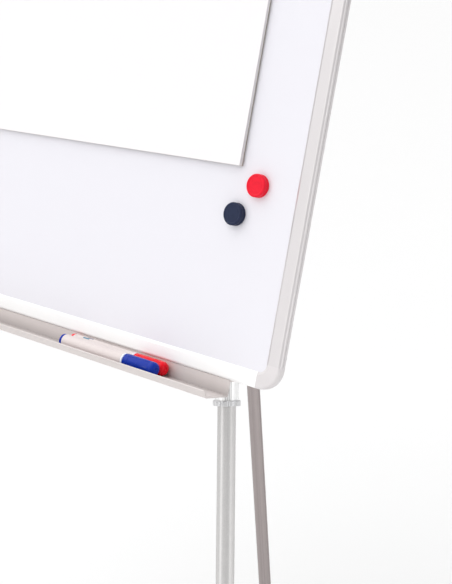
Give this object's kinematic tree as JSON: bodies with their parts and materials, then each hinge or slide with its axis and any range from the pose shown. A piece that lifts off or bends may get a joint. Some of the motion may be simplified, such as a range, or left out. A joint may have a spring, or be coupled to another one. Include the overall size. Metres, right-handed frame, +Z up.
{
  "type": "flipchart easel",
  "caption": "Framed steel flipchart board on a telescopic folding tripod, with pad clamp, pen tray, paper pad, magnets and markers.",
  "frame": {"origin": "on the floor, under the middle of the box round the easel as it stands with its legs set for use", "axes": "+Z up from the floor, -Y towards the reader in front of the board, +X to the reader's right"},
  "size_m": [0.8944, 0.672, 1.7639],
  "materials": {
    "white_enamel": "glossy",
    "honeycomb": "matte",
    "zinc_sheet": "satin",
    "frame_aluminium": "satin anodised",
    "corner_plastic": "matte",
    "tray_aluminium": "satin anodised",
    "zinc_screw": "zinc plated",
    "clamp_aluminium": "satin anodised",
    "bracket_plastic": "matte",
    "grip_rubber": "matte",
    "hook_steel": "zinc plated",
    "head_plastic": "textured",
    "saddle_plastic": "textured",
    "bolt_steel": "zinc plated",
    "leg_fitting_plastic": "matte",
    "upper_tube_aluminium": "satin anodised, fluted",
    "collar_plastic": "matte",
    "collet_plastic": "matte",
    "lower_tube_aluminium": "brushed",
    "bush_plastic": "matte",
    "foot_rubber": "matte",
    "pad_card": "matte",
    "pad_paper": "matte",
    "red_plastic": "glossy",
    "navy_plastic": "glossy",
    "magnet_ferrite": "matte",
    "marker_body": "satin",
    "marker_red": "glossy",
    "marker_blue": "glossy",
    "felt_red": "felt",
    "felt_blue": "felt"
  },
  "bodies": {
    "board": {"writing_panel": "white_enamel", "panel_core": "honeycomb", "back_panel": "zinc_sheet", "frame_left": "frame_aluminium", "frame_right": "frame_aluminium", "frame_top": "frame_aluminium", "frame_bottom": "frame_aluminium", "corner_bottom_left": "corner_plastic", "corner_bottom_right": "corner_plastic", "corner_top_left": "corner_plastic", "corner_top_right": "corner_plastic", "pen_tray": "tray_aluminium", "board_screws": "zinc_screw", "clamp_rail": "clamp_aluminium", "clamp_end_brackets": "bracket_plastic", "clamp_hinge_rod": "bolt_steel", "tripod_head": "head_plastic", "leg_saddles": "saddle_plastic", "pivot_bolts": "bolt_steel", "pivot_nuts": "bolt_steel"},
    "clamp": {"clamp_bar": "clamp_aluminium", "clamp_grip_strip": "grip_rubber"},
    "hook_left": {"pad_hook_left": "hook_steel"},
    "hook_right": {"pad_hook_right": "hook_steel"},
    "pad": {"pad_back_card": "pad_card", "pad_sheets": "pad_paper"},
    "red_magnet": {"red_magnet_cap": "red_plastic", "red_magnet_disc": "magnet_ferrite"},
    "navy_magnet": {"navy_magnet_cap": "navy_plastic", "navy_magnet_disc": "magnet_ferrite"},
    "red_marker": {"red_marker_barrel": "marker_body", "red_marker_nib": "felt_red", "red_marker_tail": "marker_red"},
    "red_cap": {"red_marker_cap": "marker_red"},
    "blue_marker": {"blue_marker_barrel": "marker_body", "blue_marker_nib": "felt_blue", "blue_marker_tail": "marker_blue"},
    "blue_cap": {"blue_marker_cap": "marker_blue"},
    "front_left_upper": {"front_left_leg_top": "leg_fitting_plastic", "front_left_upper_tube": "upper_tube_aluminium", "front_left_collet": "collet_plastic"},
    "front_left_collar": {"front_left_collar": "collar_plastic"},
    "front_left_lower": {"front_left_lower_tube": "lower_tube_aluminium", "front_left_slide_bush": "bush_plastic", "front_left_foot": "foot_rubber"},
    "front_right_upper": {"front_right_leg_top": "leg_fitting_plastic", "front_right_upper_tube": "upper_tube_aluminium", "front_right_collet": "collet_plastic"},
    "front_right_collar": {"front_right_collar": "collar_plastic"},
    "front_right_lower": {"front_right_lower_tube": "lower_tube_aluminium", "front_right_slide_bush": "bush_plastic", "front_right_foot": "foot_rubber"},
    "rear_upper": {"rear_leg_top": "leg_fitting_plastic", "rear_upper_tube": "upper_tube_aluminium", "rear_collet": "collet_plastic"},
    "rear_collar": {"rear_collar": "collar_plastic"},
    "rear_lower": {"rear_lower_tube": "lower_tube_aluminium", "rear_slide_bush": "bush_plastic", "rear_foot": "foot_rubber"}
  },
  "joints": [
    {"name": "clamp_lift", "type": "hinge", "parent": "board", "child": "clamp", "pos_m": [0, 0.10786, 1.74747], "axis": [-1, 0, 0], "range_deg": [0, 110]},
    {"name": "pad_shift", "type": "slide", "parent": "board", "child": "pad", "axis": [1, 0, 0], "range_m": [-0.0165, 0.01]},
    {"name": "hook_left_shift", "type": "slide", "parent": "board", "child": "hook_left", "axis": [1, 0, 0], "range_m": [-0.0165, 0.01]},
    {"name": "hook_right_shift", "type": "slide", "parent": "board", "child": "hook_right", "axis": [1, 0, 0], "range_m": [-0.0165, 0.01]},
    {"name": "red_magnet_pull", "type": "slide", "parent": "board", "child": "red_magnet", "axis": [0, -0.9646, 0.2639], "range_m": [0, 0.06]},
    {"name": "navy_magnet_pull", "type": "slide", "parent": "board", "child": "navy_magnet", "axis": [0, -0.9646, 0.2639], "range_m": [0, 0.06]},
    {"name": "red_marker_slide", "type": "slide", "parent": "board", "child": "red_marker", "axis": [1, 0, 0], "range_m": [-0.36, 0.07]},
    {"name": "red_cap_pull", "type": "slide", "parent": "red_marker", "child": "red_cap", "axis": [1, 0, 0], "range_m": [0, 0.06]},
    {"name": "blue_marker_lift", "type": "slide", "parent": "board", "child": "blue_marker", "axis": [0, -0.4179, 0.9085], "range_m": [0, 0.08]},
    {"name": "blue_cap_pull", "type": "slide", "parent": "blue_marker", "child": "blue_cap", "axis": [1, 0, 0], "range_m": [0, 0.06]},
    {"name": "front_left_leg_fold", "type": "hinge", "parent": "board", "child": "front_left_upper", "pos_m": [-0.0735, 0.1327, 1.66395], "axis": [0, -0.9646, 0.2639], "range_deg": [0, 11.8]},
    {"name": "front_left_collar_twist", "type": "hinge", "parent": "front_left_upper", "child": "front_left_collar", "pos_m": [-0.2691, -0.11436, 0.76085], "axis": [0.2045, 0.2583, 0.9442], "range_deg": [0, 90]},
    {"name": "front_left_telescope", "type": "slide", "parent": "front_left_upper", "child": "front_left_lower", "axis": [0.2045, 0.2583, 0.9442], "range_m": [-0.06, 0.75]},
    {"name": "front_right_leg_fold", "type": "hinge", "parent": "board", "child": "front_right_upper", "pos_m": [0.0735, 0.1327, 1.66395], "axis": [0, 0.9646, -0.2639], "range_deg": [0, 11.8]},
    {"name": "front_right_collar_twist", "type": "hinge", "parent": "front_right_upper", "child": "front_right_collar", "pos_m": [0.2691, -0.11436, 0.76085], "axis": [-0.2045, 0.2583, 0.9442], "range_deg": [0, 90]},
    {"name": "front_right_telescope", "type": "slide", "parent": "front_right_upper", "child": "front_right_lower", "axis": [-0.2045, 0.2583, 0.9442], "range_m": [-0.06, 0.75]},
    {"name": "rear_leg_fold", "type": "hinge", "parent": "board", "child": "rear_upper", "pos_m": [0, 0.16357, 1.65551], "axis": [-1, 0, 0], "range_deg": [0, 20.8]},
    {"name": "rear_collar_twist", "type": "hinge", "parent": "rear_upper", "child": "rear_collar", "pos_m": [0, 0.25524, 0.70341], "axis": [0, -0.0958, 0.9954], "range_deg": [0, 90]},
    {"name": "rear_telescope", "type": "slide", "parent": "rear_upper", "child": "rear_lower", "axis": [0, -0.0958, 0.9954], "range_m": [-0.16, 0.65]}
  ],
  "couplings": [
    {"joint": "hook_left_shift", "follows": "pad_shift", "ratio": 1},
    {"joint": "hook_right_shift", "follows": "pad_shift", "ratio": 1}
  ]
}
